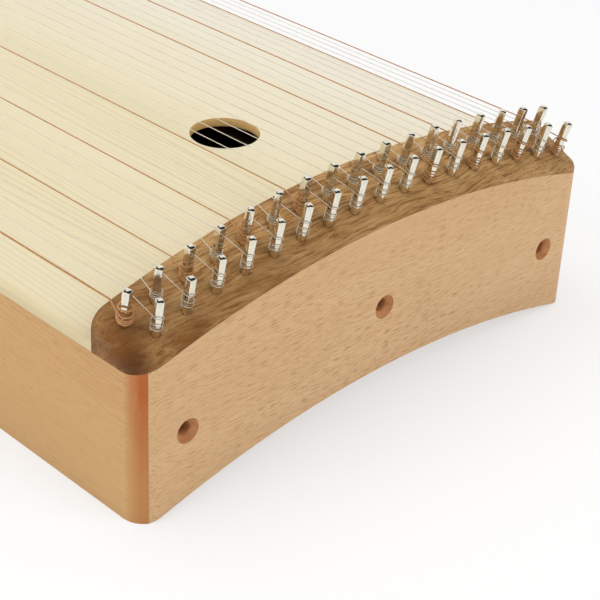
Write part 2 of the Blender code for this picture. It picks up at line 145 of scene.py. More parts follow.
def blend_colours(tree, share, under, over, blend_type="MIX"):
    node = add_node(tree, "Mix", data_type="RGBA", blend_type=blend_type)
    for key, value in ((0, share), (6, under), (7, over)):
        if isinstance(value, bpy.types.NodeSocket):
            tree.links.new(value, node.inputs[key])
        else:
            node.inputs[key].default_value = value if key == 0 else (*value, 1.0)
    return node.outputs[2]


def add_bump(tree, shader, height, distance, strength=1.0):
    inputs = {"Height": height, "Distance": distance, "Strength": strength}
    node = add_node(tree, "Bump", inputs)
    tree.links.new(node.outputs["Normal"], shader.inputs["Normal"])


# %% [markdown]
# ## Spruce
# Soundboard spruce is cut so that its yearly rings stand upright, which draws fine straight lines two to three
# millimetres apart. Each ring grows pale in spring and ends in a thin darker line. A running count of rings,
# disturbed a little so that no two are alike, gives that: its fraction rises through one ring and drops at the
# dark line. The lines are strong in some bands and nearly gone in others, so a slow noise weights them.


# %% Spruce finish
def rings_across(tree, across, along, per_metre, wander):
    """Fraction of the yearly ring at each point, from 0 in spring wood to 1 at its dark edge."""
    place = add_node(tree, "CombineXYZ", {"X": across, "Y": maths(tree, "MULTIPLY", along, 0.06)})
    slow = noise_of(tree, place.outputs[0], 30.0, 1.0)
    count = maths(tree, "MULTIPLY", across, per_metre)
    count = maths(tree, "ADD", count, maths(tree, "MULTIPLY", slow, wander))
    return maths(tree, "FRACT", count)


def spruce_finish():
    finish, tree, shader = start_finish("soundboard_spruce", 0.5, specular=0.5)
    grain = add_node(tree, "UVMap", uv_map="grain").outputs["UV"]
    place = add_node(tree, "Mapping", {"Vector": grain, "Rotation": (0.0, 0.0, math.radians(1.2))})
    split = add_node(tree, "SeparateXYZ", {"Vector": place.outputs[0]})
    across, along = split.outputs["X"], split.outputs["Y"]
    ring = rings_across(tree, across, along, 360.0, 9.0)
    late = ramp(tree, ring, ((0.0, (0.0,) * 3), (0.5, (0.08,) * 3), (0.84, (1.0,) * 3), (1.0, (0.0,) * 3)))
    broad = add_node(tree, "CombineXYZ", {"X": across, "Y": maths(tree, "MULTIPLY", along, 0.08)})
    bands = noise_of(tree, broad.outputs[0], 22.0, 2.0)
    colour = blend_colours(tree, grey_ramp(tree, bands, 0.3, 0.7), (0.800, 0.715, 0.500), (0.765, 0.675, 0.450))
    line_share = maths(tree, "MULTIPLY", late, grey_ramp(tree, bands, 0.35, 0.75, 0.2, 0.6))
    colour = blend_colours(tree, line_share, colour, (0.60, 0.50, 0.30))
    fine_ring = rings_across(tree, across, along, 880.0, 9.0)
    fine_late = ramp(tree, fine_ring, ((0.0, (0.0,) * 3), (0.5, (0.0,) * 3), (0.8, (1.0,) * 3), (1.0, (0.0,) * 3)))
    fine_share = maths(tree, "MULTIPLY", fine_late, grey_ramp(tree, bands, 0.25, 0.65, 0.45, 0.15))
    colour = blend_colours(tree, fine_share, colour, (0.56, 0.46, 0.27))
    fibre_place = add_node(tree, "CombineXYZ", {"X": across, "Y": maths(tree, "MULTIPLY", along, 0.02)})
    fibre = noise_of(tree, fibre_place.outputs[0], 2400.0, 2.0)
    colour = blend_colours(tree, grey_ramp(tree, fibre, 0.35, 0.75, 0.0, 0.16), colour, (0.66, 0.56, 0.36))
    silk_place = add_node(tree, "CombineXYZ", {"X": maths(tree, "MULTIPLY", across, 0.35), "Y": along})
    silk = noise_of(tree, silk_place.outputs[0], 420.0, 2.0)
    colour = blend_colours(tree, grey_ramp(tree, silk, 0.5, 0.8, 0.0, 0.12), colour, (0.84, 0.78, 0.60))
    # Painted sheen: the board's colour turns paler towards its right side.
    object_place = add_node(tree, "TexCoord").outputs["Object"]
    x = add_node(tree, "SeparateXYZ", {"Vector": object_place}).outputs["X"]
    colour = blend_colours(tree, grey_ramp(tree, x, -0.02, 0.13, 0.0, 0.85), colour, (0.86, 0.80, 0.665))
    # Painted shade: the rounded edge where the board turns down at its sides is darker.
    edge = grey_ramp(tree, maths(tree, "ABSOLUTE", x), 0.164, 0.1695, 0.0, 0.75)
    colour = blend_colours(tree, edge, colour, (0.68, 0.56, 0.32))
    tree.links.new(colour, shader.inputs["Base Color"])
    gloss = grey_ramp(tree, late, 0.0, 1.0, 0.54, 0.44)
    tree.links.new(gloss, shader.inputs["Roughness"])
    height = maths(tree, "ADD", late, maths(tree, "MULTIPLY", fibre, 0.7))
    add_bump(tree, shader, height, 0.00002)
    return finish


SPRUCE = spruce_finish()
print("finish:", SPRUCE.name)

# %% [markdown]
# ## Beech
# Beech is an even, warm wood. What tells it from others are its rays: thousands of short brown flecks that all lie
# along the grain, dense in one part of a board and faint in the next. Stretched noise makes the flecks, a slower
# noise gives the soft bands between them, and the grain's direction is chosen for each board: across the box on the
# end plates, and along it on the sides.


# %% Beech finish
def stretched(tree, along, across, depth, share=0.05):
    """A place that changes slowly along the grain, so noise on it becomes streaks."""
    slow = maths(tree, "MULTIPLY", along, share)
    return add_node(tree, "CombineXYZ", {"X": slow, "Y": across, "Z": depth}).outputs[0]


def beech_finish(name, light, deep, fleck, along_axis, ray_share, pore_share):
    """Bands from light to deep, short ray flecks and long fine pores. Returns the nodes that a board may add to."""
    finish, tree, shader = start_finish(name, 0.5, specular=0.3)
    place = add_node(tree, "TexCoord").outputs["Object"]
    split = add_node(tree, "SeparateXYZ", {"Vector": place})
    x, y, z = (split.outputs[k] for k in "XYZ")
    along, depth = (x, y) if along_axis == "X" else (y, x)
    wave = noise_of(tree, stretched(tree, along, z, depth, 0.3), 9.0, 2.0)
    across = maths(tree, "ADD", z, maths(tree, "MULTIPLY", wave, 0.035))
    bands = noise_of(tree, stretched(tree, along, across, depth, 0.06), 60.0, 3.0, 0.55)
    colour = blend_colours(tree, grey_ramp(tree, bands, 0.3, 0.7), light, deep)
    pores = noise_of(tree, stretched(tree, along, across, depth, 0.03), 1300.0, 2.0)
    colour = blend_colours(tree, grey_ramp(tree, pores, 0.45, 0.75, 0.0, pore_share), colour, fleck)
    rays = noise_of(tree, stretched(tree, along, across, depth, 0.075), 1700.0, 1.0)
    patch = noise_of(tree, stretched(tree, along, z, depth, 0.5), 14.0, 1.0)
    dense = grey_ramp(tree, patch, 0.35, 0.65, 0.35, 1.0)
    flecks = maths(tree, "MULTIPLY", grey_ramp(tree, rays, 0.565, 0.625, 0.0, ray_share), dense)
    colour = blend_colours(tree, flecks, colour, fleck)
    tree.links.new(colour, shader.inputs["Base Color"])
    tree.links.new(grey_ramp(tree, pores, 0.2, 0.8, 0.46, 0.56), shader.inputs["Roughness"])
    height = maths(tree, "SUBTRACT", maths(tree, "MULTIPLY", pores, 0.3), flecks)
    add_bump(tree, shader, height, 0.00003)
    return finish, tree, shader, colour, (x, y, z)


def end_beech_finish():
    light, deep, fleck = (0.725, 0.475, 0.250), (0.670, 0.420, 0.210), (0.47, 0.25, 0.105)
    return beech_finish("end_beech", light, deep, fleck, "X", 0.9, 0.40)[0]


def side_beech_finish():
    """The side boards, which show darker end grain where they turn round the upright corners of the box."""
    light, deep, fleck = (0.635, 0.385, 0.172), (0.590, 0.325, 0.132), (0.34, 0.155, 0.055)
    made = beech_finish("side_beech", light, deep, fleck, "Y", 0.60, 0.42)
    finish, tree, shader, colour, (x, y, z) = made
    golden = noise_of(tree, stretched(tree, y, z, x, 0.4), 7.0, 1.0)
    colour = blend_colours(tree, grey_ramp(tree, golden, 0.42, 0.62, 0.0, 0.5), colour, (0.62, 0.385, 0.145))
    mottle = noise_of(tree, stretched(tree, z, y, x, 0.3), 260.0, 2.0)
    depth = grey_ramp(tree, z, 0.02, 0.085, 0.0, 1.0)
    orange = blend_colours(tree, depth, (0.52, 0.222, 0.062), (0.43, 0.085, 0.008))
    orange = blend_colours(tree, grey_ramp(tree, mottle, 0.4, 0.7, 0.0, 0.35), orange, (0.54, 0.22, 0.07))
    reach = maths(tree, "ABSOLUTE", y)
    end_share = grey_ramp(tree, reach, 0.2975, 0.3055, 0.0, 0.95)
    colour = blend_colours(tree, end_share, colour, orange)
    tree.links.new(colour, shader.inputs["Base Color"])
    return finish


def back_beech_finish():
    light, deep, fleck = (0.62, 0.39, 0.19), (0.56, 0.32, 0.14), (0.36, 0.17, 0.06)
    return beech_finish("back_beech", light, deep, fleck, "Y", 0.5, 0.3)[0]


END_BEECH = end_beech_finish()
SIDE_BEECH = side_beech_finish()
BACK_BEECH = back_beech_finish()
print("finishes:", END_BEECH.name, SIDE_BEECH.name, BACK_BEECH.name)

# %% [markdown]
# ## Walnut
# The caps are walnut, a brown wood with darker streaks that wander and close round a small knot here and there. Its
# pores are open and show as fine dark dashes. Bending the place before the noise reads it makes the streaks flow.
# Painted shade makes the near corner, front edge and right end darker and redder. A small knot lies right in the
# corner.


# %% Walnut finish
def walnut_finish():
    finish, tree, shader = start_finish("cap_walnut", 0.5, specular=0.12)
    place = add_node(tree, "TexCoord").outputs["Object"]
    split = add_node(tree, "SeparateXYZ", {"Vector": place})
    x, y, z = (split.outputs[k] for k in "XYZ")
    down = maths(tree, "ADD", y, maths(tree, "MULTIPLY", z, 0.6))
    wander = noise_of(tree, stretched(tree, x, down, z, 0.5), 26.0, 2.0)
    bent = maths(tree, "ADD", down, maths(tree, "MULTIPLY", wander, 0.030))
    broad = noise_of(tree, stretched(tree, x, bent, 0.0, 0.10), 110.0, 3.0, 0.6)
    brown = ((0.30, (0.290, 0.142, 0.046)), (0.44, (0.420, 0.226, 0.080)))
    tan = ((0.58, (0.510, 0.300, 0.118)), (0.74, (0.600, 0.385, 0.172)))
    colour = ramp(tree, broad, brown + tan)
    streaks = noise_of(tree, stretched(tree, x, bent, z, 0.09), 600.0, 3.0, 0.65)
    dark_streaks = grey_ramp(tree, streaks, 0.54, 0.61, 0.0, 0.72)
    colour = blend_colours(tree, dark_streaks, colour, (0.185, 0.080, 0.026))
    light_streaks = grey_ramp(tree, streaks, 0.39, 0.46, 0.55, 0.0)
    colour = blend_colours(tree, light_streaks, colour, (0.600, 0.400, 0.200))
    # Painted shade: darker and redder towards the near corner, along the front edge and at the right end, in
    # patches.
    near_corner = grey_ramp(tree, x, -0.165, -0.110, 1.0, 0.0)
    front = grey_ramp(tree, y, -0.311, -0.285, 1.0, 0.0)
    left = grey_ramp(tree, x, -0.12, 0.03, 1.0, 0.25)
    painted_shade = maths(tree, "MAXIMUM", near_corner, maths(tree, "MULTIPLY", front, left))
    right_end_shade = grey_ramp(tree, x, 0.10, 0.15, 0.0, 0.45)
    painted_shade = maths(tree, "MAXIMUM", painted_shade, right_end_shade)
    patches = noise_of(tree, stretched(tree, x, bent, z, 0.45), 90.0, 2.0)
    painted_shade = maths(tree, "MULTIPLY", painted_shade, grey_ramp(tree, patches, 0.36, 0.60, 0.50, 0.92))
    colour = blend_colours(tree, painted_shade, colour, (0.175, 0.062, 0.012))
    knot = add_node(tree, "VectorMath", {0: place, 1: (-0.1665, -0.3035, 0.0900)}, operation="DISTANCE")
    knot_place = maths(tree, "ADD", knot.outputs["Value"], maths(tree, "MULTIPLY", wander, 0.008))
    knot_share = grey_ramp(tree, knot_place, 0.006, 0.018, 0.80, 0.0)
    colour = blend_colours(tree, knot_share, colour, (0.070, 0.022, 0.006))
    pores = noise_of(tree, stretched(tree, x, bent, z, 0.05), 1900.0, 1.0)
    pore_share = grey_ramp(tree, pores, 0.60, 0.70, 0.0, 0.5)
    colour = blend_colours(tree, pore_share, colour, (0.11, 0.045, 0.015))
    tree.links.new(colour, shader.inputs["Base Color"])
    tree.links.new(grey_ramp(tree, streaks, 0.3, 0.7, 0.46, 0.56), shader.inputs["Roughness"])
    height = maths(tree, "SUBTRACT", maths(tree, "MULTIPLY", streaks, 0.4), pore_share)
    add_bump(tree, shader, height, 0.00004)
    return finish


WALNUT = walnut_finish()
print("finish:", WALNUT.name)

# %% [markdown]
# ## Raw wood inside
# The blocks and braces are planed but not oiled. They get a duller, rougher wood of the same kind of streaks.


# %% Raw wood finishes
def raw_wood_finish(name, light, deep, along_axis):
    finish, tree, shader = start_finish(name, 0.7, specular=0.3)
    place = add_node(tree, "TexCoord").outputs["Object"]
    split = add_node(tree, "SeparateXYZ", {"Vector": place})
    x, y, z = (split.outputs[k] for k in "XYZ")
    along, across = (x, y) if along_axis == "X" else (y, x)
    streaks = noise_of(tree, stretched(tree, along, across, z, 0.04), 420.0, 3.0)
    colour = blend_colours(tree, grey_ramp(tree, streaks, 0.3, 0.7), light, deep)
    saw = noise_of(tree, stretched(tree, across, along, z, 0.1), 900.0, 1.0)
    colour = blend_colours(tree, grey_ramp(tree, saw, 0.5, 0.8, 0.0, 0.2), colour, deep)
    tree.links.new(colour, shader.inputs["Base Color"])
    add_bump(tree, shader, maths(tree, "ADD", streaks, saw), 0.00006)
    return finish


BLOCK_MAPLE = raw_wood_finish("block_maple", (0.64, 0.49, 0.31), (0.52, 0.37, 0.21), "X")
BRACE_SPRUCE = raw_wood_finish("brace_spruce", (0.78, 0.66, 0.43), (0.66, 0.52, 0.30), "X")
BORE_BEECH = raw_wood_finish("bore_beech", (0.56, 0.27, 0.11), (0.40, 0.16, 0.055), "X")
RIM_SPRUCE = raw_wood_finish("rim_spruce", (0.88, 0.60, 0.25), (0.78, 0.48, 0.17), "X")
print("finishes:", BLOCK_MAPLE.name, BRACE_SPRUCE.name, RIM_SPRUCE.name)

# %% [markdown]
# ## Metals
# Zither pins are steel with a bright nickel plate: a mirror on the round rod and the dome, and duller on the flats
# that the forge left. The plain strings are drawn steel wire, and the wound strings have a thin copper wire spun
# round a steel core. Plating is never quite even, so a little noise moves the roughness. The spun wire shows as fine ribs across the string: a sine of the length along it lifts them.


# %% Metal finishes
def metal_finish(name, bright, dull, roughness, spread, scale):
    finish, tree, shader = start_finish(name, roughness, 1.0)
    place = add_node(tree, "TexCoord").outputs["Object"]
    cloud = noise_of(tree, place, scale, 3.0)
    colour = blend_colours(tree, grey_ramp(tree, cloud, 0.35, 0.7), bright, dull)
    tree.links.new(colour, shader.inputs["Base Color"])
    rough = grey_ramp(tree, cloud, 0.3, 0.75, roughness, roughness + spread)
    tree.links.new(rough, shader.inputs["Roughness"])
    return finish, tree, shader, place


def nickel_finish(name, roughness, spread):
    bright, dull = (0.84, 0.80, 0.69), (0.72, 0.68, 0.57)
    finish, tree, shader, place = metal_finish(name, bright, dull, roughness, spread, 420.0)
    add_bump(tree, shader, noise_of(tree, place, 700.0, 1.0), 0.000006, 0.3)
    return finish


def spun_copper_finish(name, rib):
    finish, tree, shader, _ = metal_finish(
        name, (0.86, 0.49, 0.23), (0.66, 0.34, 0.14), 0.40, 0.10, 900.0
    )
    length = add_node(tree, "UVMap", uv_map="grain").outputs["UV"]
    along = add_node(tree, "SeparateXYZ", {"Vector": length}).outputs["Y"]
    ribs = maths(tree, "SINE", maths(tree, "MULTIPLY", along, math.tau / rib))
    add_bump(tree, shader, ribs, 0.00004)
    return finish


MIRROR_NICKEL = nickel_finish("pin_nickel_mirror", 0.04, 0.04)
SATIN_NICKEL = nickel_finish("pin_nickel_satin", 0.07, 0.06)
STEEL = metal_finish("plain_wire", (0.95, 0.91, 0.80), (0.84, 0.80, 0.69), 0.34, 0.12, 700.0)[0]
COPPER = spun_copper_finish("copper_winding", 0.00022)
BRASS = metal_finish("rail_brass", (0.80, 0.61, 0.33), (0.66, 0.48, 0.24), 0.26, 0.14, 500.0)[0]
print("finishes:", MIRROR_NICKEL.name, SATIN_NICKEL.name, STEEL.name, COPPER.name, BRASS.name)

# %% [markdown]
# ## The box's own curves
# Three curves shape the whole box. One arc is the seam on which the caps and the soundboard sit, one is the hollow
# underside, and one is the crown: a wide arc that turns down into the sides through a rounded shoulder. They are
# the measured model's curves, drawn here with more steps so that they look bent and not folded.

# %% Sizes in metres
BODY_WIDTH = 0.340
BODY_LENGTH = 0.620
EDGE_HEIGHT = 0.0871
CORNER_RADIUS = 0.0138
WALL_THICKNESS = 0.0066
PLATE_THICKNESS = 0.010
PLATE_RISE = 0.0251
BELLY_RISE = 0.0225
BACK_THICKNESS = 0.004
BACK_INSET = 0.0010
CLEARANCE = 0.0003
GLUE_LINE = 0.0001
RIDGE_LIFT = 0.0208
CROWN_RISE = 0.0255
SHOULDER_RADIUS = 0.0110
BOARD_THICKNESS = 0.0050
BOARD_EDGE_RADIUS = 0.0020
RIDGE_DISTANCE = 0.0358
CAP_FRONT_EDGE = 0.0006
CAP_FRONT_SHOULDER = 0.0005
HALF_WIDTH = BODY_WIDTH / 2
HALF_LENGTH = BODY_LENGTH / 2
INNER_HALF = HALF_WIDTH - WALL_THICKNESS
PIN_END = -1
HITCH_END = 1
CROWN_STEPS = 72
SHOULDER_STEPS = 14
ARCH_STEPS = 72
CORNER_STEPS = 14
HOLE_SIDES = 96
CUTTER_REACH = 0.010


# %% Curves
def place_along(end, distance):
    """The Y of a point at this distance in from an end of the box."""
    return end * (HALF_LENGTH - distance)


def span(first, last, steps):
    return [first + (last - first) * k / steps for k in range(steps + 1)]


def arc_height(x, half_chord, edge, rise):
    radius = (half_chord**2 + rise**2) / (2 * rise)
    return edge + rise - radius + math.sqrt(radius**2 - x**2)


def seam_height(x):
    return arc_height(x, HALF_WIDTH, EDGE_HEIGHT, PLATE_RISE)


def belly_height(x):
    return arc_height(x, INNER_HALF, 0.0, BELLY_RISE)


class Crown:
    """A wide arc that turns down into the sides through a shoulder."""

    def __init__(self, half, radius, centre, shoulder):
        self.half = half
        self.radius = radius
        self.centre = centre
        self.shoulder = shoulder
        reach = half - shoulder
        self.shoulder_centre = centre + math.sqrt((radius - shoulder) ** 2 - reach**2)
        self.turn = math.atan2(reach, self.shoulder_centre - centre)

    def points(self):
        left = []
        for angle in span(math.pi, math.pi / 2 + self.turn, SHOULDER_STEPS):
            x = self.shoulder - self.half + self.shoulder * math.cos(angle)
            left.append((x, self.shoulder_centre + self.shoulder * math.sin(angle)))
        middle = []
        for angle in span(-self.turn, self.turn, CROWN_STEPS)[1:-1]:
            height = self.centre + self.radius * math.cos(angle)
            middle.append((self.radius * math.sin(angle), height))
        return left + middle + [(-x, z) for x, z in reversed(left)]

    def height(self, x):
        past = abs(x) - (self.half - self.shoulder)
        if abs(x) <= self.radius * math.sin(self.turn):
            return self.centre + math.sqrt(self.radius**2 - x**2)
        return self.shoulder_centre + math.sqrt(max(self.shoulder**2 - past**2, 0.0))


RIDGE_RADIUS = (HALF_WIDTH**2 + CROWN_RISE**2) / (2 * CROWN_RISE)
RIDGE_TOP = EDGE_HEIGHT + RIDGE_LIFT + CROWN_RISE
RIDGE = Crown(HALF_WIDTH, RIDGE_RADIUS, RIDGE_TOP - RIDGE_RADIUS, SHOULDER_RADIUS)
FRONT_RADIUS = (HALF_WIDTH**2 + PLATE_RISE**2) / (2 * PLATE_RISE)
FRONT_TOP = EDGE_HEIGHT + PLATE_RISE + CLEARANCE + CAP_FRONT_EDGE
FRONT = Crown(HALF_WIDTH, FRONT_RADIUS, FRONT_TOP - FRONT_RADIUS, CAP_FRONT_SHOULDER)
BOARD_TOP = EDGE_HEIGHT + PLATE_RISE + CLEARANCE + BOARD_THICKNESS
BOARD = Crown(HALF_WIDTH, FRONT_RADIUS, BOARD_TOP - FRONT_RADIUS, BOARD_EDGE_RADIUS)
print(f"crown radius {RIDGE_RADIUS:.3f} m, top {RIDGE_TOP * 1000:.1f} mm above the table")

# %% [markdown]
# ## Boards from sections
# Most wooden pieces are one outline, drawn across the box and pulled along it. The helper below lofts rings of
# points into a closed solid and writes a map named grain, with the running length of the outline on one side and
# the place along the box on the other, which is how wood is measured. A small bevel then softens each sawn edge.


# %% Helpers for boards
def add_loft(work, rings):
    grain = work.loops.layers.uv.get("grain") or work.loops.layers.uv.new("grain")
    rows = [[work.verts.new(point) for point in ring] for ring in rings]
    count = len(rows[0])
    lengths = [0.0]
    for k in range(count):
        step = Vector(rings[0][(k + 1) % count]) - Vector(rings[0][k])
        lengths.append(lengths[-1] + step.length)
    for lower, upper in zip(rows, rows[1:]):
        for k in range(count):
            after = (k + 1) % count
            face = work.faces.new((lower[k], lower[after], upper[after], upper[k]))
            for loop, mark in zip(face.loops, (k, k + 1, k + 1, k)):
                loop[grain].uv = (lengths[mark], loop.vert.co.y)
    for row in (rows[0], rows[-1]):
        face = work.faces.new(row)
        for loop in face.loops:
            loop[grain].uv = (loop.vert.co.x, loop.vert.co.z)


def mesh_from(name, work):
    bmesh.ops.recalc_face_normals(work, faces=work.faces)
    mesh = bpy.data.meshes.new(name)
    work.to_mesh(mesh)
    work.free()
    return mesh


def put_in_scene(name, mesh, finish=None):
    item = bpy.data.objects.new(name, mesh)
    bpy.context.scene.collection.objects.link(item)
    if finish is not None:
        mesh.materials.append(finish)
    return item


def lofted(name, rings, finish=None):
    work = bmesh.new()
    add_loft(work, rings)
    return put_in_scene(name, mesh_from(name, work), finish)


def prism(name, section, y_from, y_to, finish=None):
    rings = [[(x, y, z) for x, z in section] for y in (y_from, y_to)]
    return lofted(name, rings, finish)


def combine(target, other, operation):
    change = target.modifiers.new(operation.lower(), "BOOLEAN")
    change.operation = operation
    change.solver = "EXACT"
    change.object = other


def apply_changes(item, cutters=()):
    """Applies the modifiers, so the mesh is final, and removes the cutters."""
    bpy.context.view_layer.update()
    graph = bpy.context.evaluated_depsgraph_get()
    old = item.data
    item.data = bpy.data.meshes.new_from_object(item.evaluated_get(graph), depsgraph=graph)
    item.data.name = item.name
    item.modifiers.clear()
    bpy.data.meshes.remove(old)
    for cutter in cutters:
        bpy.data.objects.remove(cutter)


def soften(item, width, segments=2, angle=32.0):
    """Rounds the sawn edges and shades the curves smooth."""
    change = item.modifiers.new("soften", "BEVEL")
    change.width = width
    change.segments = segments
    change.limit_method = "ANGLE"
    change.angle_limit = math.radians(angle)
    change.use_clamp_overlap = True
    apply_changes(item)
    item.data.shade_smooth()
    item.data.set_sharp_from_angle(angle=math.radians(angle))


def stands_for(item, body, slot, *nodes):
    """Tells the frame what the piece moves with and which solid it replaces. The slot, naming its finish, is not
    used.
    """
    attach(item, body)
    if nodes:
        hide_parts(*nodes)
    print(f"{item.name}: {len(item.data.polygons)} faces")


def corner_outline():
    plan = []
    for quarter in range(4):
        across = 1 if quarter in (0, 3) else -1
        along = 1 if quarter in (0, 1) else -1
        centre_x = across * (HALF_WIDTH - CORNER_RADIUS)
        centre_y = along * (HALF_LENGTH - CORNER_RADIUS)
        for angle in span(quarter * math.pi / 2, (quarter + 1) * math.pi / 2, CORNER_STEPS):
            x = centre_x + CORNER_RADIUS * math.cos(angle)
            plan.append((x, centre_y + CORNER_RADIUS * math.sin(angle)))
    top = RIDGE_TOP + CUTTER_REACH
    return lofted("outline", [[(x, y, z) for x, y in plan] for z in (-CUTTER_REACH, top)])


def circle(radius, sides):
    turns = [math.tau * k / sides for k in range(sides)]
    return [Vector((radius * math.cos(a), radius * math.sin(a), 0.0)) for a in turns]


# %% [markdown]
# ## Soundboard
# The soundboard is a thin sheet of spruce, bent to the arch of the walls and glued on them. It lies 16 mm under the
# strings, which cross the box from one walnut cap to the other without touching it. Its round hole lets the air in
# the box move. The hole is cut after the bending, so its rim follows the arch.

# %% Soundboard
SOUND_HOLE_DISTANCE = 0.128
SOUND_HOLE_RADIUS = 0.0200


def make_soundboard():
    places = span(HALF_WIDTH, -HALF_WIDTH, ARCH_STEPS)
    under = [(x, seam_height(x) + GLUE_LINE) for x in places]
    gap = RIDGE_DISTANCE + GLUE_LINE
    first, last = place_along(PIN_END, gap), place_along(HITCH_END, gap)
    board = prism("spruce_soundboard", BOARD.points() + under, first, last, SPRUCE)
    centre = Vector((0.0, place_along(PIN_END, SOUND_HOLE_DISTANCE), 0.0))
    ring = circle(SOUND_HOLE_RADIUS, HOLE_SIDES)
    heights = (BOARD_TOP - BOARD_THICKNESS - CUTTER_REACH, BOARD_TOP + CUTTER_REACH)
    cutter = lofted("hole", [[centre + p + Vector((0, 0, z)) for p in ring] for z in heights])
    cutter.data.materials.append(RIM_SPRUCE)
    combine(board, cutter, "DIFFERENCE")
    board.modifiers[-1].material_mode = "TRANSFER"
    apply_changes(board, [cutter])
    soften(board, 0.0004)
    stands_for(board, "root", "soundboard_spruce", "soundboard")
    return board


soundboard = make_soundboard()

# %% [markdown]
# ## Walnut caps
# At each end a walnut cap covers the block that holds the pins. Its inner edge is the bridge: it stands 16 mm above
# the soundboard and carries all strings. From there the cap slopes down to the end plate and thins to a veneer. The
# outline of the whole box, with its rounded upright corners, trims it, and the pin holes go right through it.


# %% Caps
def cap_height(x, distance):
    share = distance / RIDGE_DISTANCE
    return FRONT.height(x) * (1 - share) + RIDGE.height(x) * share


def cap_section(crown, front):
    rest = seam_height(HALF_WIDTH) + GLUE_LINE
    top = [(-HALF_WIDTH, rest)] + crown.points() + [(HALF_WIDTH, rest)]
    places = span(HALF_WIDTH, -HALF_WIDTH, ARCH_STEPS)[1:-1]
    under = [(x, seam_height(x) + GLUE_LINE) for x in places]
    return [(x, front, z) for x, z in top + under]


pin_joints = [joint for joint in frame["joints"] if joint["name"].startswith("pin_")]
PIN_COUNT = len(pin_joints)
PIN_RADIUS = 0.0025
PIN_HOLE_CLEARANCE = 0.00012


def pin_hole_cutter():
    work = bmesh.new()
    for joint in pin_joints:
        base, axis = Vector(joint["pos_m"]), Vector(joint["axis"])
        turn = axis.to_track_quat("Z", "Y").to_matrix().to_4x4()
        place = Matrix.Translation(base) @ turn
        ring = circle(PIN_RADIUS + PIN_HOLE_CLEARANCE, 32)
        rings = [[place @ (p + Vector((0, 0, z))) for p in ring] for z in (-0.03, CUTTER_REACH)]
        add_loft(work, rings)
    return put_in_scene("pin_holes", mesh_from("pin_holes", work))


def make_cap(name, end, nodes):
    cutters = [corner_outline()]
    rings = [
        cap_section(FRONT, end * HALF_LENGTH),
        cap_section(RIDGE, place_along(end, RIDGE_DISTANCE)),
    ]
    cap = lofted(name, rings, WALNUT)
    combine(cap, cutters[0], "INTERSECT")
    if end == PIN_END:
        cutters.append(pin_hole_cutter())
        combine(cap, cutters[1], "DIFFERENCE")
    apply_changes(cap, cutters)
    soften(cap, 0.0002)
    stands_for(cap, "root", "cap_walnut", nodes)


make_cap("walnut_pin_cap", PIN_END, "pin_cap")
make_cap("walnut_hitch_cap", HITCH_END, "hitch_cap")

# %% [markdown]
# ## Beech plates and sides
# Each end plate is a flat beech board, sawn to the seam's arc above and to the hollow below, with three countersunk
# holes for a stand's screws. The sides are thin boards that run past the plates and are rounded off with them.

# %% Plates and sides
SCREW_HOLE_SPREAD = 0.1398
SCREW_HOLE_SIDE_HEIGHT = 0.0461
SCREW_HOLE_MIDDLE_HEIGHT = 0.0616
SCREW_HOLE_RADIUS = 0.0038
COUNTERSINK_RADIUS = 0.0070
SCREW_HOLE_DEPTH = 0.018


def between(lower, upper, half, steps):
    places = span(-half, half, steps)
    return [(x, lower(x)) for x in places] + [(x, upper(x)) for x in reversed(places)]


def screw_hole_cutter(end):
    heights = (SCREW_HOLE_SIDE_HEIGHT, SCREW_HOLE_MIDDLE_HEIGHT, SCREW_HOLE_SIDE_HEIGHT)
    profile = (
        (COUNTERSINK_RADIUS + CUTTER_REACH, -CUTTER_REACH),
        (SCREW_HOLE_RADIUS, COUNTERSINK_RADIUS - SCREW_HOLE_RADIUS),
        (SCREW_HOLE_RADIUS, SCREW_HOLE_DEPTH),
    )
    work = bmesh.new()
    for place, z in zip((-1, 0, 1), heights):
        rings = []
        for radius, depth in profile:
            y = place_along(end, depth)
            rings.append([(place * SCREW_HOLE_SPREAD + p.x, y, z + p.y) for p in circle(radius, 48)])
        add_loft(work, rings)
    return put_in_scene("screw_holes", mesh_from("screw_holes", work), BORE_BEECH)


def make_plate(name, end, node):
    half = INNER_HALF - GLUE_LINE
    section = between(belly_height, seam_height, half, ARCH_STEPS)
    outer, inner = end * HALF_LENGTH, place_along(end, PLATE_THICKNESS)
    plate = prism(name, section, outer, inner, END_BEECH)
    cutters = [corner_outline(), screw_hole_cutter(end)]
    combine(plate, cutters[0], "INTERSECT")
    combine(plate, cutters[1], "DIFFERENCE")
    plate.modifiers[-1].material_mode = "TRANSFER"
    apply_changes(plate, cutters)
    soften(plate, 0.00035)
    stands_for(plate, "root", "end_beech", node)


def make_side(name, side, node):
    section = [
        (side * HALF_WIDTH, 0.0),
        (side * INNER_HALF, 0.0),
        (side * INNER_HALF, seam_height(INNER_HALF)),
        (side * HALF_WIDTH, seam_height(HALF_WIDTH)),
    ]
    wall = prism(name, section, -HALF_LENGTH, HALF_LENGTH, SIDE_BEECH)
    outline = corner_outline()
    combine(wall, outline, "INTERSECT")
    apply_changes(wall, [outline])
    soften(wall, 0.0004)
    stands_for(wall, "root", "side_beech", node)


make_plate("beech_pin_plate", PIN_END, "pin_end_plate")
make_plate("beech_hitch_plate", HITCH_END, "hitch_end_plate")
make_side("beech_side_left", -1, "side_wall_left")
make_side("beech_side_right", 1, "side_wall_right")

# %% [markdown]
# ## Back board and the inside
# The back board closes the hollow underside. The blocks and braces already have their right shapes in the measured
# model, so they stay and only get their finish.


# %% Back board, blocks and braces
def make_back_board():
    def lower(x):
        return belly_height(x) + BACK_INSET

    def upper(x):
        return lower(x) + BACK_THICKNESS

    gap = PLATE_THICKNESS + CLEARANCE
    section = between(lower, upper, INNER_HALF - CLEARANCE, ARCH_STEPS)
    first, last = place_along(PIN_END, gap), place_along(HITCH_END, gap)
    board = prism("beech_back_board", section, first, last, BACK_BEECH)
    soften(board, 0.0003)
    stands_for(board, "root", "side_beech", "back_board")


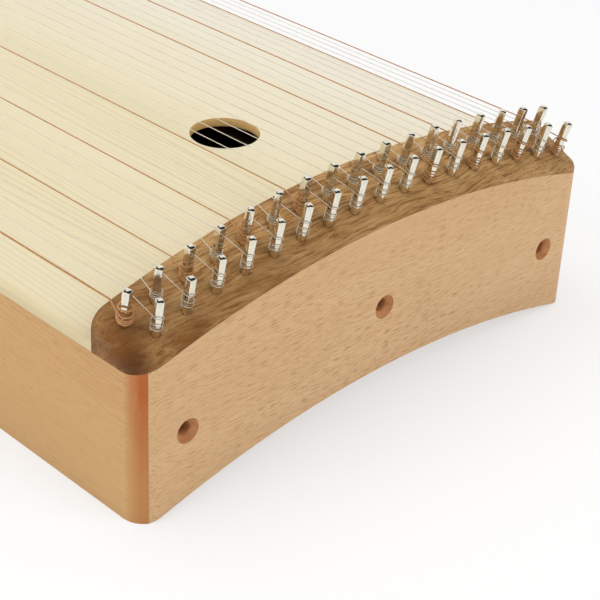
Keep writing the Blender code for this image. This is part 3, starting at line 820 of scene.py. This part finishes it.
make_back_board()
for name, item in frame["nodes"].items():
    if "block" in name or "brace" in name:
        item.data.materials.clear()
        item.data.materials.append(BLOCK_MAPLE if "block" in name else BRACE_SPRUCE)

# %% [markdown]
# ## Tuning pins
# A zither pin is a round steel rod. Four flats are forged on its upper half for the tuning key: each starts as a
# point low on the rod, widens quickly and then tapers slowly up to the domed top. A small hole takes the wire. Every
# ring of the loft has the same number of points, some on the flats and some on the round corners between them, so
# one loft turns the rod into the head.

# %% Pin shape
PIN_TOP = 0.0224
PIN_SUNK = 0.012
FLATS_FOOT = 0.0026
FLATS_TAPER = 2.5
HEAD_RADIUS = 0.00266
HEAD_HALF = 0.00192
DOME_HEIGHT = 0.0011
DOME_FOOT = PIN_TOP - DOME_HEIGHT
FIRST_FLAT = math.radians(8)
WIRE_HOLE_HEIGHT = 0.0104
WIRE_HOLE_RADIUS = 0.0006


def head_ring(radius, half, height):
    """Four flats at this distance from the axis, and the round corners between them."""
    flat = max(math.acos(min(half / radius, 1.0)), FIRST_FLAT)
    reach = radius * math.cos(flat)
    points = []
    for quarter in range(4):
        turn = Matrix.Rotation(quarter * math.pi / 2, 3, "Z")
        across = [Vector((reach, reach * math.tan(flat) * t, height)) for t in (-1, -1 / 3, 1 / 3)]
        angles = span(flat, math.pi / 2 - flat, 8)[:-1]
        corner = [Vector((radius * math.cos(a), radius * math.sin(a), height)) for a in angles]
        points += [turn @ p for p in across + corner]
    return points


def rod_ring(height):
    """The same points as a head ring, all on the round rod."""
    ring = head_ring(PIN_RADIUS, PIN_RADIUS, height)
    return [Vector((*(Vector((p.x, p.y)).normalized() * PIN_RADIUS), p.z)) for p in ring]


def head_at(share):
    height = FLATS_FOOT + (DOME_FOOT - FLATS_FOOT) * share
    radius = PIN_RADIUS + (HEAD_RADIUS - PIN_RADIUS) * share
    half = HEAD_HALF + (PIN_RADIUS - HEAD_HALF) * (1 - share) ** FLATS_TAPER
    return head_ring(radius, half, height)


def dome_ring(share):
    """Rings that shrink over the dome and turn from the head's outline into a circle."""
    way = share * math.pi / 2
    points = []
    for p in head_at(1.0):
        flat_place = Vector((p.x, p.y))
        round_place = flat_place.normalized() * (HEAD_HALF + HEAD_RADIUS) / 2
        place = flat_place.lerp(round_place, min(1.0, share * 1.6)) * math.cos(way)
        points.append(Vector((*place, DOME_FOOT + DOME_HEIGHT * math.sin(way))))
    return points


def pin_rings():
    rings = [rod_ring(-PIN_SUNK), rod_ring(FLATS_FOOT - 0.0001)]
    rings += [head_at(share) for share in (0.0, 0.02, 0.05, 0.09, 0.14, 0.2, 0.3, 0.45, 0.7, 1.0)]
    return rings + [dome_ring(share) for share in (0.12, 0.25, 0.38, 0.5, 0.62, 0.74, 0.86, 0.96)]


def make_pin_mesh():
    pin = lofted("pin", pin_rings(), MIRROR_NICKEL)
    pin.data.materials.append(SATIN_NICKEL)
    for face in pin.data.polygons:
        squarely = max(abs(face.normal.x), abs(face.normal.y)) > math.cos(math.radians(6))
        if squarely and FLATS_FOOT < face.center.z < DOME_FOOT:
            face.material_index = 1
    ring = circle(WIRE_HOLE_RADIUS, 16)
    rings = [[Vector((p.x, y, WIRE_HOLE_HEIGHT + p.y)) for p in ring] for y in (-0.006, 0.006)]
    cutter = lofted("wire_hole", rings)
    combine(pin, cutter, "DIFFERENCE")
    apply_changes(pin, [cutter])
    mesh = pin.data
    bpy.data.objects.remove(pin)
    mesh.shade_smooth()
    mesh.set_sharp_from_angle(angle=math.radians(11.5))
    return mesh


pin_mesh = make_pin_mesh()
print("tuning pin:", len(pin_mesh.polygons), "faces")

# %% [markdown]
# ## Wire
# Every string is one wire: it leaves a stud, crosses both ridges, meets its pin on one side and goes round it a few
# times before its end disappears into the pin. A tube along points makes all of them. Each of its rings is set
# square to the wire's way, and the map named grain runs along it for the spun copper's ribs.


# %% Tubes
def tube_mesh(name, points, radius, finish, sides=10):
    work = bmesh.new()
    grain = work.loops.layers.uv.new("grain")
    ways = [(b - a).normalized() for a, b in zip(points, points[1:])]
    ways = [ways[0]] + [(a + b).normalized() for a, b in zip(ways, ways[1:])] + [ways[-1]]
    side = ways[0].orthogonal().normalized()
    rows, lengths = [], [0.0]
    for a, b in zip(points, points[1:]):
        lengths.append(lengths[-1] + (b - a).length)
    for point, way in zip(points, ways):
        side = (side - way * side.dot(way)).normalized()
        other = way.cross(side)
        turns = [math.tau * k / sides for k in range(sides)]
        ring = [point + (side * math.cos(a) + other * math.sin(a)) * radius for a in turns]
        rows.append([work.verts.new(p) for p in ring])
    for j, (lower, upper) in enumerate(zip(rows, rows[1:])):
        for k in range(sides):
            after = (k + 1) % sides
            face = work.faces.new((lower[k], lower[after], upper[after], upper[k]))
            marks = ((k, j), (k + 1, j), (k + 1, j + 1), (k, j + 1))
            for loop, (round_mark, mark) in zip(face.loops, marks):
                loop[grain].uv = (round_mark / sides, lengths[mark])
    work.faces.new(rows[0])
    work.faces.new(rows[-1])
    mesh = mesh_from(name, work)
    mesh.shade_smooth()
    mesh.set_sharp_from_angle(angle=math.radians(60))
    mesh.materials.append(finish)
    return mesh


# %% String sizes
PIN_MARGIN = 0.0121
PIN_SHIFT = -0.0014
PIN_PITCH = (BODY_WIDTH - 2 * PIN_MARGIN) / (PIN_COUNT - 1)
STRING_OFFSET = 0.0009
WOUND_STRINGS = (0, 4, 8, 12, 21, 25, 29, 33)
PLAIN_GAUGE = 0.00045
WOUND_GAUGE = 0.0007
LOWEST_GAUGE = 0.0011


def gauge_of(index):
    if index == 0:
        return LOWEST_GAUGE
    return WOUND_GAUGE if index in WOUND_STRINGS else PLAIN_GAUGE


def in_front_row(index):
    return index % 2 == 1


def string_x(index):
    return (index - (PIN_COUNT - 1) / 2) * PIN_PITCH + PIN_SHIFT + STRING_OFFSET


def ridge_point(index, end):
    x = string_x(index)
    height = RIDGE.height(x) + CLEARANCE + gauge_of(index) / 2
    return Vector((x, place_along(end, RIDGE_DISTANCE), height))


# %% [markdown]
# ## Windings on the pins
# A string comes in about level with the bridge and goes down round its pin, two or three turns on the plain wires
# and more on the wound ones, and its end goes into the pin. The copper-wound wire is stiff, so its turns stand off
# the pin. The first turn drops most and the last ones lie close together. Seeded noise changes each pin's turns a
# little, as no two are wound alike.

# %% Windings
BACK_DROP = 0.0002
FRONT_DROP = 0.0011
PLAIN_WINDING_GAP = 0.0003
WOUND_WINDING_GAP = 0.0005
WINDING_STEPS = 32
STRING_WRAP = math.radians(45)


def pin_place(index):
    joint = pin_joints[index]
    return Vector(joint["pos_m"]), Vector(joint["axis"])


def winding_radius(index):
    gap = WOUND_WINDING_GAP if index in WOUND_STRINGS else PLAIN_WINDING_GAP
    return PIN_RADIUS + gap + gauge_of(index) / 2


def winding_start(index):
    """How high on its pin a string arrives: a little under the height of the bridge."""
    base, axis = pin_place(index)
    level = (ridge_point(index, PIN_END).z - base.z) / axis.z
    return level - (FRONT_DROP if in_front_row(index) else BACK_DROP)


def winding_turns(index):
    if index in WOUND_STRINGS:
        return 3.5
    return 3.0 if in_front_row(index) else 2.5


def winding_end(index):
    return 0.0021 if index in WOUND_STRINGS else 0.0036


def touch_turn(index):
    """The turn that brings -X to where the string touches the winding."""
    base, axis = pin_place(index)
    radius = winding_radius(index)
    to_ridge = ridge_point(index, PIN_END) - (base + axis * winding_start(index))
    seen = upright_frame(index).to_3x3().transposed() @ to_ridge
    return math.atan2(seen.y, seen.x) + math.acos(radius / seen.xy.length) - math.pi


def upright_frame(index):
    """The pin's place, with Z up along the pin and X as near as can be to the scene's X."""
    base, axis = pin_place(index)
    side = Vector((1.0, 0.0, 0.0))
    side = (side - axis * side.dot(axis)).normalized()
    return Matrix.Translation(base) @ Matrix((side, axis.cross(side), axis)).transposed().to_4x4()


def pin_frame(index):
    return upright_frame(index) @ Matrix.Rotation(touch_turn(index), 4, "Z")


def chance(index, row):
    """A number from about -0.5 to 0.5 that is the same on each run."""
    return noise.noise(Vector((index * 7.13, row * 3.7, 0.5)))


def winding_points(index):
    start, turns = winding_start(index), winding_turns(index)
    drop = start - winding_end(index)
    wound = index in WOUND_STRINGS
    gather = (0.70 if in_front_row(index) else 0.30) + 0.4 * chance(index, 1)
    gather = 0.9 if wound and in_front_row(index) else min(gather, 0.8)
    loose = 0.00055 if wound else 0.0001
    steps = round(turns * WINDING_STEPS)
    points = []
    for k in range(steps + 1):
        part = k / steps
        angle = math.pi + math.tau * k / WINDING_STEPS
        settled = min(1.0, part * turns * 2)
        swell = 0.5 + noise.noise(Vector((index * 7.1, part * turns * 1.3, 0.5)))
        reach = winding_radius(index) + loose * swell * settled
        sunk = (1 - gather) * part + gather * (1 - (1 - part) ** 2)
        lean = 0.0003 * noise.noise(Vector((index * 3.7, part * turns * 0.9, 4.5))) * settled
        points.append(Vector((reach * math.cos(angle), reach * math.sin(angle), start - drop * sunk + lean)))
    last = points[-1]
    inwards = 0.5 * PIN_RADIUS / last.xy.length
    points.append(Vector((last.x * inwards, last.y * inwards, last.z)))
    return points


def wire_end_points(index):
    """The short end of a wound wire, which comes out of the pin's hole and goes round above the turns."""
    turns = 0.08 if in_front_row(index) else 0.95
    radius = winding_radius(index) + 0.0001
    points = [Vector((0.0, 0.0, WIRE_HOLE_HEIGHT))]
    for k in range(round(turns * WINDING_STEPS) + 1):
        angle = math.pi / 2 + math.tau * k / WINDING_STEPS
        height = WIRE_HOLE_HEIGHT + 0.0017 * k / WINDING_STEPS
        points.append(Vector((radius * math.cos(angle), radius * math.sin(angle), height)))
    return points


# %% [markdown]
# ## How the pins are turned
# Each pin is turned until its string is in tune, so the flats face all ways. Where a flat faces the light floor it
# flashes white, and where it faces the cap it is brown. The angles below are the turns of the pins in degrees, as
# seen from above.

# %% Turn of each pin
BRIGHT, BROWN, CORNER = -110, -136, -90
PIN_TURNS = {0: -160, 3: -96}
for front_pin in (1, 5, 7, 9, 11, 13, 15, 17, 19, 21, 23, 25, 27, 29, 31, 33):
    PIN_TURNS[front_pin] = BRIGHT
for brown_pin in (2, 8, 10, 20, 24, 28):
    PIN_TURNS[brown_pin] = BROWN
for corner_pin in (4, 6, 12, 14, 16, 18, 22, 26, 30, 32):
    PIN_TURNS[corner_pin] = CORNER


def make_pin(index):
    wound = index in WOUND_STRINGS
    number = f"{index + 1:02d}"
    body = f"pin_{number}"
    head_turn = math.radians(PIN_TURNS[index] + 12 * chance(index, 2))
    head_place = upright_frame(index) @ Matrix.Rotation(head_turn, 4, "Z")
    pin = put_in_scene(f"nickel_pin_{number}", pin_mesh)
    pin.matrix_world = head_place
    stands_for(pin, body, "pin_nickel", f"tuning_pin_{number}")
    finish = COPPER if wound else STEEL
    slot = "copper_winding" if wound else "plain_wire"
    pieces = [("winding", winding_points(index), pin_frame(index))]
    if wound:
        pieces.append(("wire_end", wire_end_points(index), head_place))
    for label, points, place in pieces:
        name = f"{label}_{number}"
        coil = put_in_scene(name, tube_mesh(name, points, gauge_of(index) / 2, finish))
        coil.matrix_world = place
        stands_for(coil, body, slot)


for index in range(PIN_COUNT):
    make_pin(index)

# %% [markdown]
# ## Hitch rail
# At the far end each wire ends in a loop over a small stud. The studs stand in a brass rail that follows the cap's
# slope and crown.

# %% Hitch rail
HITCH_DISTANCE = 0.0150
RAIL_WIDTH = 0.008
RAIL_THICKNESS = 0.0016
RAIL_END_MARGIN = 0.0030
STUD_RADIUS = 0.0011
STUD_HEIGHT = 0.0050
LOOP_HEIGHT = 0.0022
SLOPE_STEP = 0.0003


def hitch_frame(x):
    step = SLOPE_STEP
    here = cap_height(x, HITCH_DISTANCE)
    along = (cap_height(x, HITCH_DISTANCE + step) - here) / step
    rise = cap_height(x + step, HITCH_DISTANCE) - cap_height(x - step, HITCH_DISTANCE)
    normal = Vector((-rise / (2 * step), along, 1.0)).normalized()
    down = Vector((0.0, 1.0, -along)).normalized()
    return Vector((x, place_along(HITCH_END, HITCH_DISTANCE), here)), normal, down


def stud_point(index, height):
    base, normal, _ = hitch_frame(string_x(index))
    return base + normal * (CLEARANCE + RAIL_THICKNESS + height)


def make_rail():
    rings = []
    rail_half = PIN_PITCH * (PIN_COUNT - 1) / 2 + RAIL_END_MARGIN
    for x in span(-rail_half, rail_half, ARCH_STEPS):
        base, normal, down = hitch_frame(x)
        foot = base + normal * CLEARANCE
        half = down * RAIL_WIDTH / 2
        top = normal * RAIL_THICKNESS
        rings.append([foot - half, foot + half, foot + half + top, foot - half + top])
    rail = lofted("brass_hitch_rail", rings, BRASS)
    soften(rail, 0.0003)
    stands_for(rail, "root", "rail_brass", "hitch_rail_and_plain_strings")


def make_studs():
    profile = ((0.85, -0.001), (1.0, 0.0), (0.8, 0.0012), (0.8, 0.0036), (1.0, 0.0044), (0.7, STUD_HEIGHT))
    work = bmesh.new()
    for index in range(PIN_COUNT):
        _, normal, down = hitch_frame(string_x(index))
        side = normal.cross(down).normalized()
        ahead = side.cross(normal)
        rings = []
        for share, height in profile:
            ring = circle(STUD_RADIUS * share, 20)
            centre = stud_point(index, height)
            rings.append([centre + side * p.x + ahead * p.y for p in ring])
        add_loft(work, rings)
    studs = put_in_scene("hitch_studs", mesh_from("hitch_studs", work), MIRROR_NICKEL)
    studs.data.shade_smooth()
    studs.data.set_sharp_from_angle(angle=math.radians(40))
    stands_for(studs, "root", "pin_nickel")


make_rail()
make_studs()

# %% [markdown]
# ## Strings
# A taut wire is straight between what it rests on, so a string is three straight runs with small bends over the two
# bridges. Its loop goes once round its stud. At the pin it already follows the first part of the winding, so that no
# gap opens when the pin is turned to tighten it. The wound strings are the coppery ones, and the first is thickest.


# %% Strings
def string_points(index):
    winding = winding_points(index)
    wrapped = round(STRING_WRAP / math.tau * WINDING_STEPS)
    wrap = [pin_frame(index) @ winding[k] for k in range(wrapped, -1, -1)]
    near = ridge_point(index, PIN_END)
    far = ridge_point(index, HITCH_END)
    _, normal, down = hitch_frame(string_x(index))
    centre = stud_point(index, LOOP_HEIGHT)
    side = normal.cross(down).normalized()
    loop_radius = STUD_RADIUS * 0.8 + gauge_of(index) / 2
    loop = []
    for k in range(21):
        way = math.radians(-60 + 300 * k / 20)
        rise = normal * (0.0006 * k / 20)
        loop.append(centre + (side * math.cos(way) + down * math.sin(way)) * loop_radius + rise)
    return wrap + [near, far] + loop


for index in range(PIN_COUNT):
    wound = index in WOUND_STRINGS
    name = f"string_{index + 1:02d}"
    finish = COPPER if wound else STEEL
    wire = put_in_scene(name, tube_mesh(name, string_points(index), gauge_of(index) / 2, finish))
    slot = "copper_winding" if wound else "plain_wire"
    if wound:
        stands_for(wire, "root", slot, f"wound_string_{index + 1:02d}")
    else:
        stands_for(wire, "root", slot)

# %% [markdown]
# ## Floor and light
# The instrument lies on a plain pale floor. The floor is partly lit and partly bright by itself where the camera or
# a mirror sees it, so that it reads as white and still keeps the shadow. An even world light and three large soft
# lamps show colours about as they are written. A mirror needs something dark to look like metal, so polished pieces
# see a few dark cards in the white room, as they do in a product photographer's studio.


# %% Floor and light
def make_floor():
    work = bmesh.new()
    corners = [work.verts.new((x * 6.0, y * 6.0, 0.0)) for x, y in ((-1, -1), (1, -1), (1, 1), (-1, 1))]
    work.faces.new(corners)
    floor = put_in_scene("floor", mesh_from("floor", work))
    finish, tree, shader = start_finish("floor_white", 0.9)
    shader.inputs["Base Color"].default_value = (0.9, 0.9, 0.9, 1.0)
    seen = add_node(tree, "LightPath")
    share = maths(tree, "MAXIMUM", seen.outputs["Is Camera Ray"], seen.outputs["Is Glossy Ray"])
    share = maths(tree, "MAXIMUM", share, seen.outputs["Is Transmission Ray"])
    glow = add_node(tree, "Emission", {"Color": (1.0, 1.0, 1.0, 1.0), "Strength": 1.0})
    place = add_node(tree, "TexCoord").outputs["Object"]
    distance = add_node(tree, "VectorMath", {0: place}, operation="LENGTH").outputs["Value"]
    share = maths(tree, "MULTIPLY", share, grey_ramp(tree, distance, 0.9, 2.4, 0.6, 1.0))
    mixed = add_node(tree, "MixShader", {"Fac": share})
    tree.links.new(shader.outputs[0], mixed.inputs[1])
    tree.links.new(glow.outputs[0], mixed.inputs[2])
    output = next(node for node in tree.nodes if node.type == "OUTPUT_MATERIAL")
    tree.links.new(mixed.outputs[0], output.inputs["Surface"])
    floor.data.materials.append(finish)
    floor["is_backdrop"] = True


def make_lamp(name, place, aim, size, power):
    lamp = bpy.data.lights.new(name, "AREA")
    lamp.shape = "SQUARE"
    lamp.size = size
    lamp.energy = power
    item = bpy.data.objects.new(name, lamp)
    bpy.context.scene.collection.objects.link(item)
    item.location = place
    item.rotation_mode = "QUATERNION"
    item.rotation_quaternion = (Vector(aim) - Vector(place)).to_track_quat("-Z", "Y")
    item.visible_glossy = False


make_floor()
make_lamp("key_light", (0.5, -1.6, 1.5), (0.0, -0.1, 0.05), 1.2, 11.0)
make_lamp("top_light", (-0.3, 0.6, 2.0), (0.0, 0.0, 0.1), 1.4, 14.0)
make_lamp("side_light", (-1.7, 0.2, 1.2), (0.0, 0.0, 0.05), 1.2, 9.0)

# %% World
ROOM_LIGHT = 0.62
WINDOW_MIDDLE = (0.67, 0.32, 0.67)
WINDOW_ACROSS = (-0.181, 0.947, -0.266)


def towards(tree, direction, way):
    return add_node(tree, "VectorMath", {0: direction, 1: way}, operation="DOT_PRODUCT").outputs["Value"]


def make_world():
    world = bpy.data.worlds.new("studio")
    world.use_nodes = True
    tree = world.node_tree
    sky = tree.nodes["Background"]
    direction = add_node(tree, "TexCoord").outputs["Generated"]
    nearness = towards(tree, direction, WINDOW_MIDDLE)
    beside = maths(tree, "ABSOLUTE", towards(tree, direction, WINDOW_ACROSS))
    long_side = grey_ramp(tree, beside, 0.26, 0.32, 1.0, 0.0)
    short_side = grey_ramp(tree, nearness, 0.74, 0.80, 0.0, 1.0)
    inside = maths(tree, "MULTIPLY", long_side, short_side)
    outside = grey_ramp(tree, nearness, -0.15, 0.12, 1.0, 0.03)
    behind = grey_ramp(tree, towards(tree, direction, (0.0, 1.0, 0.0)), 0.45, 0.60, 0.0, 1.0)
    low = grey_ramp(tree, towards(tree, direction, (0.0, 0.0, 1.0)), 0.60, 0.70, 1.0, 0.0)
    back_wall = maths(tree, "MULTIPLY", behind, low)
    cards = maths(tree, "MAXIMUM", maths(tree, "MAXIMUM", inside, outside), back_wall)
    seen = add_node(tree, "LightPath")
    glossy = seen.outputs["Is Glossy Ray"]
    shown = maths(tree, "MAXIMUM", seen.outputs["Is Camera Ray"], seen.outputs["Is Transmission Ray"])
    mirrored = maths(tree, "MULTIPLY", glossy, cards)
    shown = maths(tree, "MAXIMUM", shown, mirrored)
    unseen = maths(tree, "SUBTRACT", 1.0, maths(tree, "MAXIMUM", shown, glossy))
    strength = maths(tree, "ADD", shown, maths(tree, "MULTIPLY", unseen, ROOM_LIGHT))
    tree.links.new(strength, sky.inputs["Strength"])
    sky.inputs["Color"].default_value = (1.0, 1.0, 1.0, 1.0)
    bpy.context.scene.world = world


make_world()
bpy.context.scene.view_settings.view_transform = "Standard"

# %% [markdown]
# ## Size of both models
# The boxes of the measured model and of the dressed one are both printed in millimetres.

# %% Size of both models
dressed_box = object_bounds()
boxes = {"cad": [list(corner) for corner in measured_box], "visual": [list(corner) for corner in dressed_box]}
for label, (low, high) in boxes.items():
    print(label, [round((b - a) * 1000, 1) for a, b in zip(low, high)], "mm")
